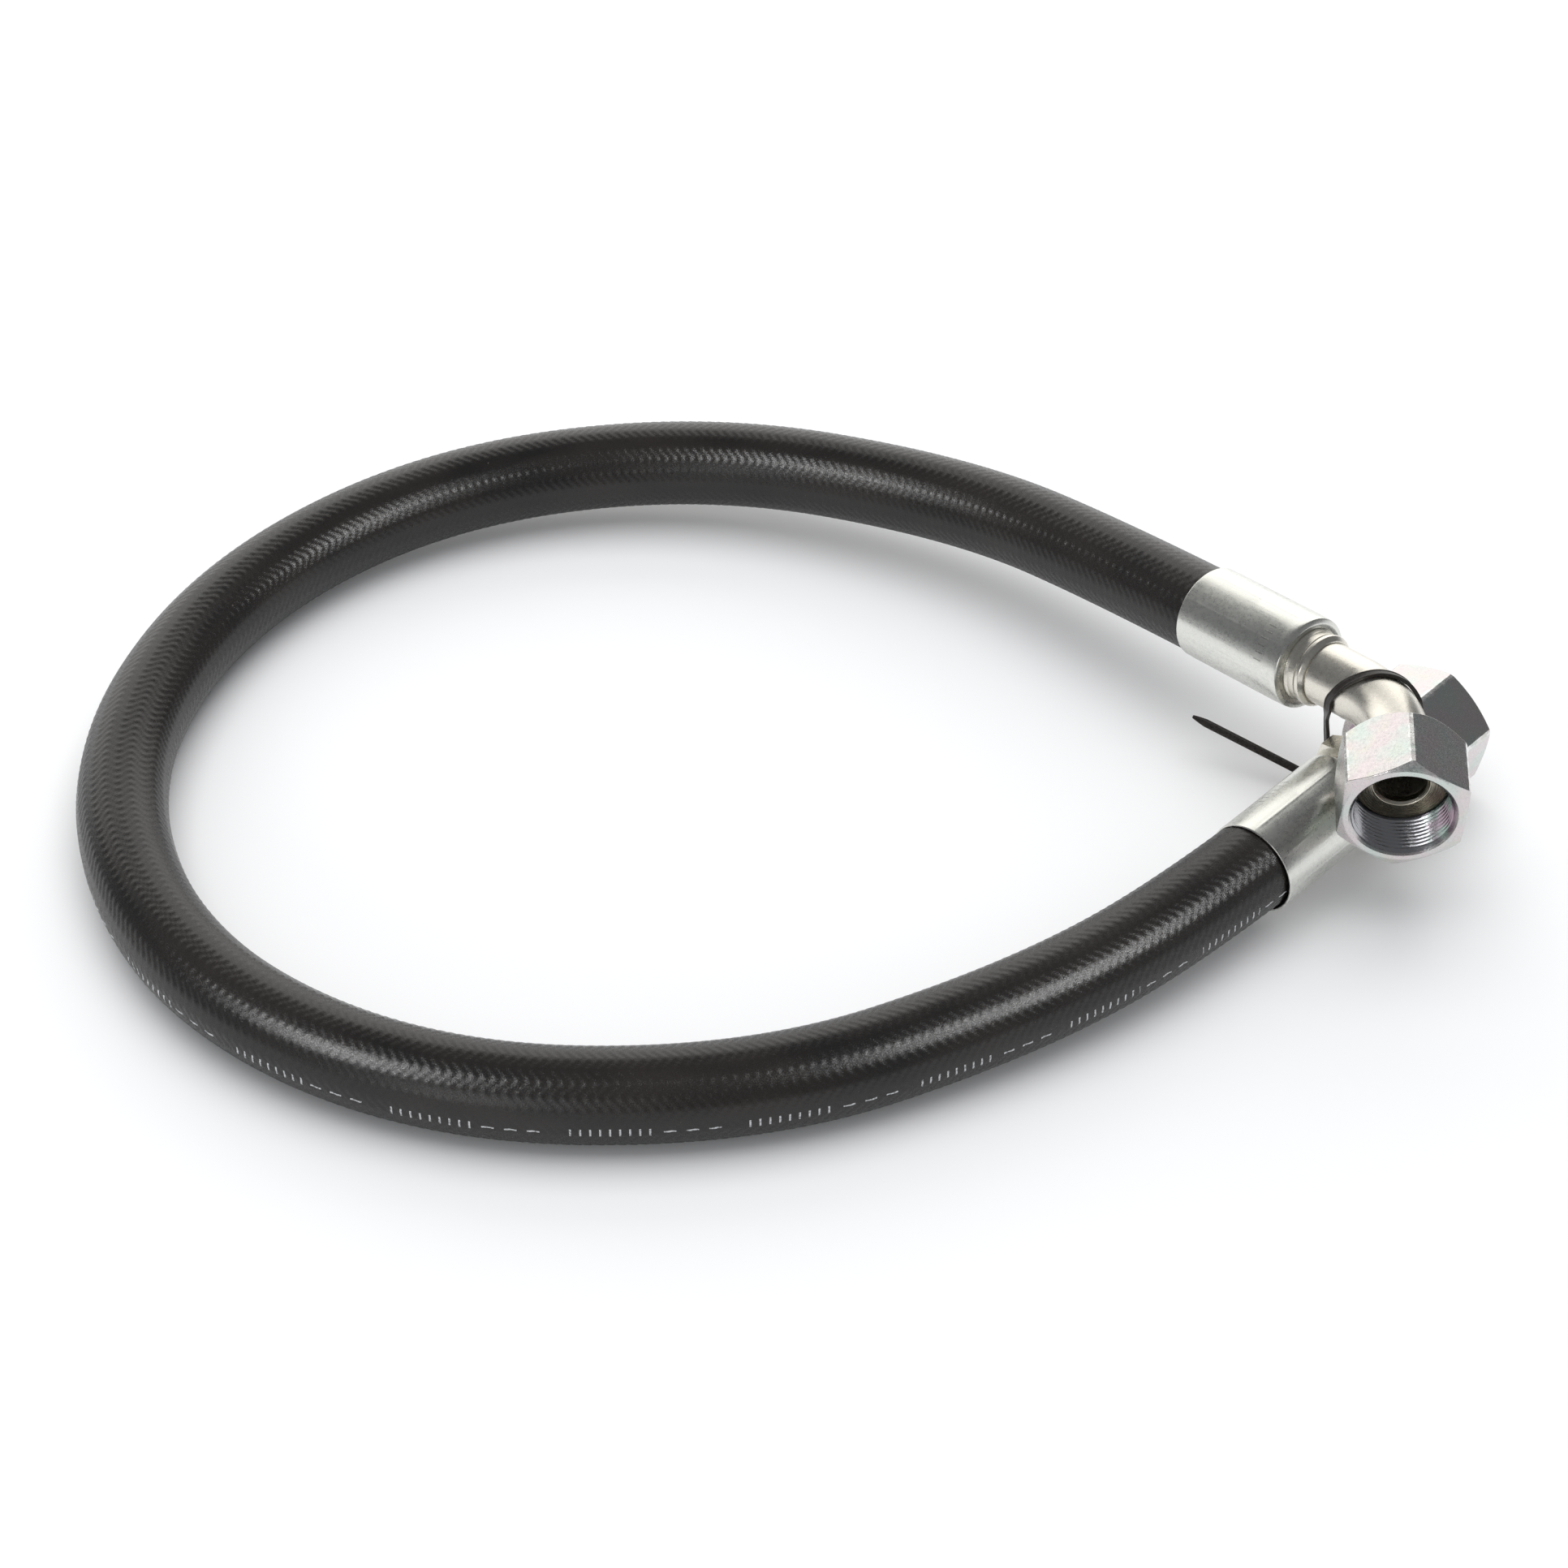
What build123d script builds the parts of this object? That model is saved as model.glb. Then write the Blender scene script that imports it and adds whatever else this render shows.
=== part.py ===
from build123d import *
import os
from math import cos, sin, tan, pi, radians

os.makedirs("parts", exist_ok=True)

# Hydraulic hose assembly, millimetres, +Z up, resting on Z = 0.
# A DN19 one-braid rubber hose bent into a flat teardrop loop, with a crimped
# straight fitting and a crimped 45 degree elbow fitting, each with a swivel nut.

# ---------------------------------------------------------------- hose
BORE_R = 9.5
BRAID_IN_R = 11.75
BRAID_OUT_R = 12.2
HOSE_R = 13.85
HOSE_INSERT = 36.0

# ---------------------------------------------------------------- ferrule
FERRULE_R = 14.7
FERRULE_LEN = 42.7
FERRULE_MOUTH_R = 14.0
FERRULE_GRIP_R = 12.9
FERRULE_RIB_R = 12.5
FERRULE_WALL_START = 39.5
FERRULE_LIP_R = 10.6

# ---------------------------------------------------------------- hose tail
TAIL_R = 9.6
BARB_R = 10.3
BARB_PITCH = 5.0
BARB_COUNT = 6
COLLAR_R = 11.5
FLOW_R = 7.5
TUBE_R = 9.8
STRAIGHT_COLLAR_END = 47.0
STEM_HEX_END = 54.0
STEM_HEX_FLATS = 28.0
ELBOW_COLLAR_END = 49.7
ELBOW_SOCKET = 9.6

# ---------------------------------------------------------------- swivel nut and flat-face sleeve
NUT_FLATS = 36.0
NUT_LEN = 25.5
NUT_CORNER_CUT = 0.35
NUT_FRONT_R = 17.25
NUT_BACK_R = 17.5
THREAD_MINOR_R = 14.19
COUNTERSINK_R = 15.7
THREAD_END = 13.4
RELIEF_R = 15.2
RELIEF_END = 15.0
CAVITY_R = 13.8
CAVITY_END = 19.15
LIP_R = 11.7
FACE_DEPTH = 13.6
FACE_CHAMFER = 0.8
FLANGE_R = 13.7
FLANGE_LEN = 5.5
HUB_R = 11.6
HUB_END = 24.9
TUBE_STOP = 16.6

# ---------------------------------------------------------------- cable tie
TIE_WIDTH = 2.5
TIE_THICK = 1.2
TIE_GAP = 0.2
TIE_HEAD = Vector(167.9, -3.9, 5.3)
TIE_HEADING = Vector(-0.883, 0.365, 0.293).normalized()
TIE_FACING = Vector(-0.083, -0.734, 0.673).normalized()

# ---------------------------------------------------------------- placement

def heading(angle, rise):
    """Unit vector at a plan angle from +X and a rise above the floor, in degrees."""
    flat = cos(radians(rise))
    return Vector(flat * cos(radians(angle)), flat * sin(radians(angle)), sin(radians(rise)))


def up_from(axis):
    """The direction square to the axis that points most nearly up."""
    return (Vector(0, 0, 1) - axis * axis.Z).normalized()


def frame_at(point, axis):
    """Work plane with local Z along the axis and local X pointing up."""
    return Plane(origin=point, x_dir=up_from(axis), z_dir=axis)


STRAIGHT_AXIS = heading(46.18, 2.18)
STRAIGHT_MOUTH = Vector(137.79, -56.41, 18.32)
STRAIGHT_NUT_AT = 91.6
STRAIGHT_HEX_TURN = 10.9

LEG_AXIS = heading(-50.2, 6.95)
SPOUT_AXIS = heading(-94.2, -2.9)
ELBOW_CORNER = Vector(182.18, -18.81, 47.89)
LEG_LEN = 78.3
SPOUT_LEN = 46.2
BEND_R = 38.0
TUBE_BACK = 38.2
TUBE_FRONT = 29.6
ELBOW_HEX_TURN = -2.7

# Corners of the hose centre line between the two fittings, following the loop round.
LOOP = [
    Vector(67.53, -113.61, 15.2),
    Vector(-7.47, -147.61, 13.85),
    Vector(-102.47, -145.61, 13.85),
    Vector(-176.47, -95.61, 13.85),
    Vector(-206.47, -10.61, 13.85),
    Vector(-182.47, 77.39, 14.2),
    Vector(-116.47, 137.39, 16.2),
    Vector(-26.47, 151.39, 20.3),
    Vector(58.53, 117.39, 26.6),
]
STRAIGHT_RUN_OUT = 26.0
ELBOW_RUN_OUT = 34.6

ELBOW_MOUTH = ELBOW_CORNER - LEG_AXIS * LEG_LEN
STRAIGHT_NUT = STRAIGHT_MOUTH + STRAIGHT_AXIS * STRAIGHT_NUT_AT
ELBOW_NUT = ELBOW_CORNER + SPOUT_AXIS * SPOUT_LEN


def along_straight(distance):
    return STRAIGHT_MOUTH + STRAIGHT_AXIS * distance


def along_leg(distance):
    return ELBOW_MOUTH + LEG_AXIS * distance


# ---------------------------------------------------------------- shared helpers
def turned(profile):
    """Solid of revolution about local Z from (radius, height) corners."""
    outline = Polygon(*profile, align=None)
    return revolve(Plane.XZ * outline, Axis.Z)


def drum(radius, low, high):
    """Plain cylinder between two heights on local Z."""
    return turned([(0, low), (radius, low), (radius, high), (0, high)])


def hex_bar(flats, low, high, turn):
    """Hexagonal bar between two heights, first corner at an angle from local X."""
    corner = flats / 2 / cos(pi / 6)
    points = [(corner * cos(k * pi / 3), corner * sin(k * pi / 3)) for k in range(6)]
    bar = extrude(Polygon(*points, align=None), high - low)
    return Pos(0, 0, low) * Rot(0, 0, turn) * bar


# ---------------------------------------------------------------- hose
def hose_points():
    start = [along_straight(HOSE_INSERT), along_straight(-STRAIGHT_RUN_OUT)]
    finish = [along_leg(-ELBOW_RUN_OUT), along_leg(HOSE_INSERT)]
    return start + LOOP + finish


def corner_radii(points):
    """One bend radius per corner, from the shorter run beside it."""
    radii = []
    for before, corner, after in zip(points, points[1:], points[2:]):
        run_in = corner - before
        run_out = after - corner
        half_turn = radians(run_in.get_angle(run_out)) / 2
        radii.append(0.45 * min(run_in.length, run_out.length) / tan(half_turn))
    return radii


def hose_path():
    points = hose_points()
    radii = corner_radii(points)
    print("bend radii", [round(r, 1) for r in radii])
    return FilletPolyline(*points, radius=radii)


def hose_layer(path, inner, outer):
    plane = Plane(origin=path @ 0, z_dir=path % 0)
    ring = Circle(outer) - Circle(inner)
    layer = sweep(plane * ring, path=Wire(path.edges()))
    expected = pi * (outer ** 2 - inner ** 2) * path.length
    print("layer", inner, outer, "volume", round(layer.volume), "section x length", round(expected))
    return layer


# ---------------------------------------------------------------- fitting parts, local Z from ferrule mouth
def ferrule():
    rib_starts = [8.0, 14.0, 20.0, 26.0, 32.0]
    inner = [(FERRULE_MOUTH_R, 0.4), (FERRULE_MOUTH_R, 3.5), (FERRULE_GRIP_R, 5.0)]
    for low in rib_starts:
        inner += [(FERRULE_GRIP_R, low), (FERRULE_RIB_R, low + 0.4)]
        inner += [(FERRULE_RIB_R, low + 2.6), (FERRULE_GRIP_R, low + 3.0)]
    inner += [(FERRULE_GRIP_R, FERRULE_WALL_START), (FERRULE_LIP_R, FERRULE_WALL_START)]
    inner += [(FERRULE_LIP_R, FERRULE_LEN)]
    outer = [(FERRULE_R - 1.0, FERRULE_LEN), (FERRULE_R - 0.3, FERRULE_LEN - 0.3)]
    outer += [(FERRULE_R, FERRULE_LEN - 1.0), (FERRULE_R, 0.4), (FERRULE_R - 0.2, 0.0)]
    outer += [(FERRULE_MOUTH_R + 0.2, 0.0)]
    return turned(inner + outer)


def barbed_profile():
    """Outer profile of the insert, sharp sides of the barbs facing the fitting."""
    profile = [(FLOW_R, 3.0), (TAIL_R - 0.6, 3.0), (TAIL_R, 4.5)]
    for k in range(BARB_COUNT):
        low = 5.0 + k * BARB_PITCH
        profile += [(TAIL_R, low), (BARB_R, low + 3.2), (TAIL_R, low + 3.6)]
    return profile


def tail_body(collar_end):
    profile = barbed_profile()
    profile += [(TAIL_R, HOSE_INSERT), (COLLAR_R, HOSE_INSERT), (COLLAR_R, FERRULE_WALL_START)]
    profile += [(FERRULE_LIP_R, FERRULE_WALL_START), (FERRULE_LIP_R, FERRULE_LEN)]
    profile += [(COLLAR_R, FERRULE_LEN), (COLLAR_R, collar_end - 0.4)]
    profile += [(COLLAR_R - 0.4, collar_end), (FLOW_R, collar_end)]
    return turned(profile)


def straight_tail():
    neck_end = STRAIGHT_NUT_AT - TUBE_STOP
    body = tail_body(STRAIGHT_COLLAR_END)
    corner = STEM_HEX_FLATS / 2 / cos(pi / 6)
    crown = turned([
        (0, STRAIGHT_COLLAR_END), (corner - 1.6, STRAIGHT_COLLAR_END), (corner, STRAIGHT_COLLAR_END + 0.8),
        (corner, STEM_HEX_END - 0.8), (corner - 1.6, STEM_HEX_END), (0, STEM_HEX_END),
    ])
    stem_hex = hex_bar(STEM_HEX_FLATS, STRAIGHT_COLLAR_END, STEM_HEX_END, STRAIGHT_HEX_TURN) & crown
    neck = drum(TUBE_R, STEM_HEX_END, neck_end)
    solid = body + stem_hex + neck
    return solid - drum(FLOW_R, 0, neck_end + 1)


def elbow_tail():
    body = tail_body(ELBOW_COLLAR_END)
    return body - drum(TUBE_R, ELBOW_COLLAR_END - ELBOW_SOCKET, ELBOW_COLLAR_END + 1)


def elbow_tube():
    start = ELBOW_CORNER - LEG_AXIS * TUBE_BACK
    finish = ELBOW_CORNER + SPOUT_AXIS * TUBE_FRONT
    path = FilletPolyline(start, ELBOW_CORNER, finish, radius=BEND_R)
    ring = Circle(TUBE_R) - Circle(FLOW_R)
    return sweep(Plane(origin=path @ 0, z_dir=path % 0) * ring, path=Wire(path.edges()))


# ---------------------------------------------------------------- swivel parts, local Z out of the nut mouth
def sleeve():
    face = -FACE_DEPTH
    back = face - FLANGE_LEN
    return turned([
        (FLOW_R + FACE_CHAMFER, face), (FLANGE_R - 0.3, face), (FLANGE_R, face - 0.3),
        (FLANGE_R, back), (HUB_R, back), (HUB_R, -HUB_END + 0.3), (HUB_R - 0.3, -HUB_END),
        (TUBE_R, -HUB_END), (TUBE_R, -TUBE_STOP), (FLOW_R, -TUBE_STOP), (FLOW_R, face - FACE_CHAMFER),
    ])


def nut_cavity():
    return turned([
        (0, 1), (COUNTERSINK_R + 1, 1), (COUNTERSINK_R, 0),
        (THREAD_MINOR_R, THREAD_MINOR_R - COUNTERSINK_R), (THREAD_MINOR_R, -THREAD_END),
        (RELIEF_R, -THREAD_END), (RELIEF_R, -RELIEF_END),
        (CAVITY_R, -RELIEF_END), (CAVITY_R, -CAVITY_END), (LIP_R, -CAVITY_END), (LIP_R, -NUT_LEN - 1),
        (0, -NUT_LEN - 1),
    ])


def swivel_nut(turn):
    outer = NUT_FLATS / 2 / cos(pi / 6) - NUT_CORNER_CUT
    crown = turned([
        (0, 0), (NUT_FRONT_R, 0), (outer, -1.5), (outer, -NUT_LEN + 3.4),
        (NUT_BACK_R, -NUT_LEN), (0, -NUT_LEN),
    ])
    return (hex_bar(NUT_FLATS, -NUT_LEN, 0, turn) & crown) - nut_cavity()


# ---------------------------------------------------------------- cable tie
def elbow_station(distance, angle, radius):
    """Point and outward direction round the elbow, distance from where the bend starts."""
    turn_axis = LEG_AXIS.cross(SPOUT_AXIS).normalized()
    bend = radians(LEG_AXIS.get_angle(SPOUT_AXIS))
    start = ELBOW_CORNER - LEG_AXIS * (BEND_R * tan(bend / 2))
    if distance <= 0:
        centre = start + LEG_AXIS * distance
        axis = LEG_AXIS
    else:
        swing = min(distance / BEND_R, bend)
        inward = turn_axis.cross(LEG_AXIS)
        pivot = start + inward * BEND_R
        centre = pivot - inward * (BEND_R * cos(swing)) + LEG_AXIS * (BEND_R * sin(swing))
        axis = LEG_AXIS * cos(swing) + inward * sin(swing)
    up = up_from(axis)
    outward = up * cos(radians(angle)) + axis.cross(up) * sin(radians(angle))
    return centre + outward * radius, outward


def neck_station(distance, angle, radius):
    """Point and outward direction round the straight stem's neck."""
    up = up_from(STRAIGHT_AXIS)
    outward = up * cos(radians(angle)) + STRAIGHT_AXIS.cross(up) * sin(radians(angle))
    return along_straight(distance) + outward * radius, outward


def faceted_strip(rings):
    """Solid through a row of four-cornered rings, with flat triangles between them."""
    faces = [Face(Wire.make_polygon(rings[0])), Face(Wire.make_polygon(rings[-1][::-1]))]
    for low, high in zip(rings, rings[1:]):
        for k in range(4):
            a, b = low[k], low[k - 1]
            c, d = high[k - 1], high[k]
            faces.append(Face(Wire.make_polygon([a, b, c])))
            faces.append(Face(Wire.make_polygon([a, c, d])))
    return Part() + Solid(Shell(faces))


def tie_band():
    over = TUBE_R + TIE_GAP + TIE_THICK / 2
    side = Vector(-1, -0.15, 0).normalized()
    turning = Vector(-0.85, -0.5, 0.1).normalized()
    right = Vector(0.97, -0.24, 0).normalized()
    stations = [
        (Vector(167.8, -4.0, 5.8), side),
        (Vector(167.2, -4.0, 9.5), side),
        (Vector(166.4, -3.9, 14.0), turning),
        (Vector(165.6, -4.0, 20.0), turning),
        (Vector(164.5, -5.0, 28.5), turning),
        (Vector(163.5, -7.6, 36.0), side),
        elbow_station(-2.8, 108, over + 0.2),
        elbow_station(-1.9, 88, over),
        elbow_station(-0.2, 71, over),
        elbow_station(2.1, 54, over),
        elbow_station(4.4, 38, over),
        elbow_station(6.8, 18, over),
        elbow_station(8.7, -3, over),
        elbow_station(10.6, -25, over),
        elbow_station(12.2, -47, over),
        elbow_station(13.6, -69, over),
        elbow_station(14.7, -90, over + 0.2),
        (Vector(189.53, -16.91, 39.0), right),
        (Vector(189.03, -17.81, 31.0), right),
        neck_station(61.6, -90, over + 0.3),
        neck_station(61.2, -112, over + 0.1),
        neck_station(61.0, -134, over),
        neck_station(60.6, -156, over),
        neck_station(60.2, -178, over),
        neck_station(59.4, -200, over + 0.4),
        (Vector(168.5, -4.3, 5.4), Vector(0, 0, -1)),
    ]
    rings = []
    last = len(stations) - 1
    for k, (point, outward) in enumerate(stations):
        travel = (stations[min(k + 1, last)][0] - stations[max(k - 1, 0)][0]).normalized()
        thick = (outward - travel * outward.dot(travel)).normalized() * (TIE_THICK / 2)
        wide = travel.cross(thick).normalized() * (TIE_WIDTH / 2)
        rings.append([point + thick + wide, point - thick + wide, point - thick - wide, point + thick - wide])
    return faceted_strip(rings)


def tie_seat():
    """Work plane of the head: local X along the free end, local Z out of its broad face."""
    return Plane(origin=TIE_HEAD, x_dir=TIE_HEADING, z_dir=TIE_FACING)


def tie_tail():
    """Free end of the band, bowing a little out of its broad face."""
    seat = tie_seat()
    bowed = Plane(origin=TIE_HEAD, x_dir=TIE_HEADING, z_dir=-seat.y_dir)
    bow = Spline((1.0, 0.0), (16.0, 0.5), (32.0, 0.5), (47.3, 0.0))
    return extrude(bowed * trace(bow, TIE_THICK), TIE_WIDTH / 2, both=True)


def cable_tie():
    return tie_band() + tie_seat() * Box(5.2, 4.6, 4.0) + tie_tail()


# ---------------------------------------------------------------- assembly
def write(part, name):
    part.label = name
    export_step(part, f"parts/{name}.step")
    box = part.bounding_box()
    print(name, "volume", round(part.volume), "solids", len(part.solids()), box)


path = hose_path()
print("hose length", round(path.length, 1))

straight_frame = frame_at(STRAIGHT_MOUTH, STRAIGHT_AXIS)
elbow_frame = frame_at(ELBOW_MOUTH, LEG_AXIS)
straight_nut_frame = frame_at(STRAIGHT_NUT, STRAIGHT_AXIS)
elbow_nut_frame = frame_at(ELBOW_NUT, SPOUT_AXIS)

straight_ferrule = straight_frame * ferrule()
elbow_ferrule = elbow_frame * ferrule()
straight_hose_tail = straight_frame * straight_tail()
elbow_hose_tail = elbow_frame * elbow_tail()

liner = hose_layer(path, BORE_R, BRAID_IN_R) - straight_hose_tail - elbow_hose_tail
cover = hose_layer(path, BRAID_OUT_R, HOSE_R) - straight_ferrule - elbow_ferrule

write(liner, "hose_liner")
write(hose_layer(path, BRAID_IN_R, BRAID_OUT_R), "wire_braid")
write(cover, "hose_cover")
write(straight_ferrule, "straight_ferrule")
write(straight_hose_tail, "straight_hose_tail")
write(straight_nut_frame * sleeve(), "straight_sleeve")
write(straight_nut_frame * swivel_nut(STRAIGHT_HEX_TURN), "straight_nut")
write(elbow_ferrule, "elbow_ferrule")
write(elbow_hose_tail, "elbow_hose_tail")
write(elbow_tube(), "elbow_tube")
write(elbow_nut_frame * sleeve(), "elbow_sleeve")
write(elbow_nut_frame * swivel_nut(ELBOW_HEX_TURN), "elbow_nut")
write(cable_tie(), "cable_tie")
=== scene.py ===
from math import cos, hypot, pi, radians, sin, tan

import bpy
import bmesh
from mathutils import Matrix, Vector


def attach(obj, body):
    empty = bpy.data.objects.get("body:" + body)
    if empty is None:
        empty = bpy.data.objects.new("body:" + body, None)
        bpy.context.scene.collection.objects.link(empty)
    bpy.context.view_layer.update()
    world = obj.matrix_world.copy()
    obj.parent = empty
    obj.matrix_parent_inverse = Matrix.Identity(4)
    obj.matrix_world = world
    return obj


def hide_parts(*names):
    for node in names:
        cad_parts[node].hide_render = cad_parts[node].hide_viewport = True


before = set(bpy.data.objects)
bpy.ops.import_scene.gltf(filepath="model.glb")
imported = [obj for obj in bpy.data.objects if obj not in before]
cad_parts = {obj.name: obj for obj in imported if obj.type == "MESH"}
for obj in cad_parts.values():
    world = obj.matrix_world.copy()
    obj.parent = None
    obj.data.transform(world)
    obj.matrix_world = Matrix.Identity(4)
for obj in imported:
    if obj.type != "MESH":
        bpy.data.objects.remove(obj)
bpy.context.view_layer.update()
MM = 0.001

# ------------------------------------------------------------ camera
scene = bpy.context.scene
lens = bpy.data.cameras.new("camera")
lens.lens = 90.54
lens.sensor_width = 36.0
lens.clip_end = 20.0
camera = bpy.data.objects.new("camera", lens)
camera.location = (0.0005, -0.9278, 0.7829)
camera.rotation_euler = (radians(49.96), 0.0, 0.0)
scene.collection.objects.link(camera)
scene.camera = camera

# ------------------------------------------------------------ sizes, in millimetres
HOSE_R = 13.85
BRAID_R = 12.2
LINER_R = 11.75
BORE_R = 9.5
HOSE_INSERT = 36.0
STRAIGHT_RUN_OUT = 26.0
ELBOW_RUN_OUT = 34.6
SPAN_STEPS = 180
ROWS_AROUND = 22
RIDGE_PITCH = 3.0
RIDGE_HEIGHT = 0.28

FERRULE_R = 14.7
FERRULE_LEN = 42.7
FERRULE_MOUTH_R = 14.0
FERRULE_GRIP_R = 12.9
FERRULE_RIB_R = 12.5
FERRULE_HOLE_R = 11.7
FERRULE_WALL_START = 39.5

TAIL_R = 9.6
BARB_R = 10.3
BARB_PITCH = 5.0
BARB_COUNT = 6
COLLAR_R = 11.5
LOCK_GROOVE_R = 10.55
TUBE_R = 9.8
FLOW_R = 7.5
STRAIGHT_LEN = 91.6
STEM_HEX_FLATS = 28.0
STEM_HEX_START = 47.0
STEM_HEX_END = 54.0

LEG_LEN = 78.3
SPOUT_LEN = 46.2
BEND_R = 38.0
TUBE_BACK = 38.2
TUBE_FRONT = 29.6
TUBE_START = 40.1

NUT_FLATS = 36.0
NUT_LEN = 25.5
CORNER_CUT = 0.35
NUT_FRONT_R = 17.25
NUT_BACK_R = 17.5
MINOR_R = 14.19
MAJOR_R = 15.0
PITCH = 1.5
THREAD_END = 13.4
MOUTH_R = 15.75
RELIEF_R = 15.2
RELIEF_END = 14.95
CAVITY_R = 13.8
CAVITY_END = 19.15
LIP_R = 11.7

FACE_DEPTH = 13.6
FLANGE_R = 13.7
FLANGE_LEN = 5.5
HUB_R = 11.6
HUB_END = 24.9
TUBE_SEAT = 16.6

TIE_WIDTH = 2.5
TIE_THICK = 1.2
TIE_GAP = 0.03
TIE_RIM = 0.45
TIE_CHANNEL = 0.14


def heading(angle, rise):
    """Unit vector at a plan angle from +X and a rise above the floor, in degrees."""
    flat = cos(radians(rise))
    return Vector((flat * cos(radians(angle)), flat * sin(radians(angle)), sin(radians(rise))))


def up_from(axis):
    """The direction square to the axis that points most nearly up."""
    return (Vector((0, 0, 1)) - axis * axis.z).normalized()


def frame_at(point, axis, turn=0.0):
    """Matrix from local millimetres to the row frame in metres, Z along the axis, X turned from up."""
    up = up_from(axis)
    side = axis.cross(up)
    upright = Matrix((up, side, axis)).transposed().to_4x4()
    turned = upright @ Matrix.Rotation(radians(turn), 4, "Z")
    return Matrix.Translation(point * MM) @ turned @ Matrix.Scale(MM, 4)


STRAIGHT_AXIS = heading(46.18, 2.18)
STRAIGHT_MOUTH = Vector((137.79, -56.41, 18.32))
STRAIGHT_NUT = STRAIGHT_MOUTH + STRAIGHT_AXIS * STRAIGHT_LEN
STRAIGHT_HEX_TURN = 10.9
LEG_AXIS = heading(-50.2, 6.95)
SPOUT_AXIS = heading(-94.2, -2.9)
ELBOW_CORNER = Vector((182.18, -18.81, 47.89))
ELBOW_MOUTH = ELBOW_CORNER - LEG_AXIS * LEG_LEN
ELBOW_NUT = ELBOW_CORNER + SPOUT_AXIS * SPOUT_LEN
ELBOW_HEX_TURN = -2.7

STRAIGHT = frame_at(STRAIGHT_MOUTH, STRAIGHT_AXIS)
ELBOW = frame_at(ELBOW_MOUTH, LEG_AXIS)
STEM_HEX = frame_at(STRAIGHT_MOUTH, STRAIGHT_AXIS, STRAIGHT_HEX_TURN)
STRAIGHT_SWIVEL = frame_at(STRAIGHT_NUT, STRAIGHT_AXIS, STRAIGHT_HEX_TURN)
ELBOW_SWIVEL = frame_at(ELBOW_NUT, SPOUT_AXIS, ELBOW_HEX_TURN)

BEND = LEG_AXIS.angle(SPOUT_AXIS)
BEND_AXIS = LEG_AXIS.cross(SPOUT_AXIS).normalized()
BEND_TANGENT = BEND_R * tan(BEND / 2)
BEND_INWARD = BEND_AXIS.cross(LEG_AXIS)
BEND_START = ELBOW_CORNER - LEG_AXIS * BEND_TANGENT
BEND_PIVOT = BEND_START + BEND_INWARD * BEND_R

# ------------------------------------------------------------ hose route, control points in metres
HOSE_ROUTE = [
    (STRAIGHT_MOUTH + STRAIGHT_AXIS * HOSE_INSERT) * MM,
    (STRAIGHT_MOUTH - STRAIGHT_AXIS * STRAIGHT_RUN_OUT) * MM,
    (0.06753, -0.11361, 0.0152),
    (-0.00747, -0.14761, 0.01385),
    (-0.10247, -0.14561, 0.01385),
    (-0.17647, -0.09561, 0.01385),
    (-0.20647, -0.01061, 0.01385),
    (-0.18247, 0.07739, 0.0142),
    (-0.11647, 0.13739, 0.0162),
    (-0.02647, 0.15139, 0.0203),
    (0.05853, 0.11739, 0.0266),
    (ELBOW_MOUTH - LEG_AXIS * ELBOW_RUN_OUT) * MM,
    (ELBOW_MOUTH + LEG_AXIS * HOSE_INSERT) * MM,
]


def route_points(name, route, per_span):
    """Points along the smooth NURBS line that has the route's points as its controls."""
    curve = bpy.data.curves.new(name, "CURVE")
    curve.dimensions = "3D"
    spline = curve.splines.new("NURBS")
    spline.points.add(len(route) - 1)
    for control, place in zip(spline.points, route):
        control.co = (place[0], place[1], place[2], 1.0)
    spline.order_u = 3
    spline.use_endpoint_u = True
    spline.resolution_u = per_span
    holder = bpy.data.objects.new(name, curve)
    scene.collection.objects.link(holder)
    line = bpy.data.meshes.new_from_object(holder)
    points = [v.co.copy() for v in line.vertices]
    bpy.data.objects.remove(holder)
    bpy.data.curves.remove(curve)
    bpy.data.meshes.remove(line)
    return points


# ------------------------------------------------------------ mesh helpers
TURNED_SEGMENTS = 180
THREAD_SEGMENTS = 144
THREAD_STEPS = 10
TUBE_STEP = 1.2


def finish_mesh(name, verts, faces, local, material, body, sharp=35.0):
    """Object from vertices in metres, with each vertex's own local millimetres kept for its material."""
    mesh = bpy.data.meshes.new(name)
    mesh.from_pydata(verts, [], faces)
    store = mesh.attributes.new("local", "FLOAT_VECTOR", "POINT")
    store.data.foreach_set("vector", [c for place in local for c in place])
    mesh.validate()
    mesh.shade_smooth()
    mesh.set_sharp_from_angle(angle=radians(sharp))
    mesh.materials.append(material)
    piece = bpy.data.objects.new(name, mesh)
    scene.collection.objects.link(piece)
    even = piece.modifiers.new("even_normals", "WEIGHTED_NORMAL")
    even.keep_sharp = True
    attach(piece, body)
    return piece


def rounded(profile, radius, steps=3):
    """A closed profile with each real corner replaced by a small round."""
    count = len(profile)
    result = []
    for k in range(count):
        before = Vector(profile[k - 1])
        corner = Vector(profile[k])
        after = Vector(profile[(k + 1) % count])
        run_in = corner - before
        run_out = after - corner
        turn = abs(run_in.angle_signed(run_out)) if run_in.length * run_out.length else 0.0
        cut = min(radius, 0.4 * run_in.length, 0.4 * run_out.length)
        if turn < radians(12) or cut < 0.004:
            result.append(tuple(corner))
            continue
        first = corner - run_in.normalized() * cut
        last = corner + run_out.normalized() * cut
        for step in range(steps + 1):
            t = step / steps
            bend = first.lerp(corner, t).lerp(corner.lerp(last, t), t)
            result.append(tuple(bend))
    return result


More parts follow.
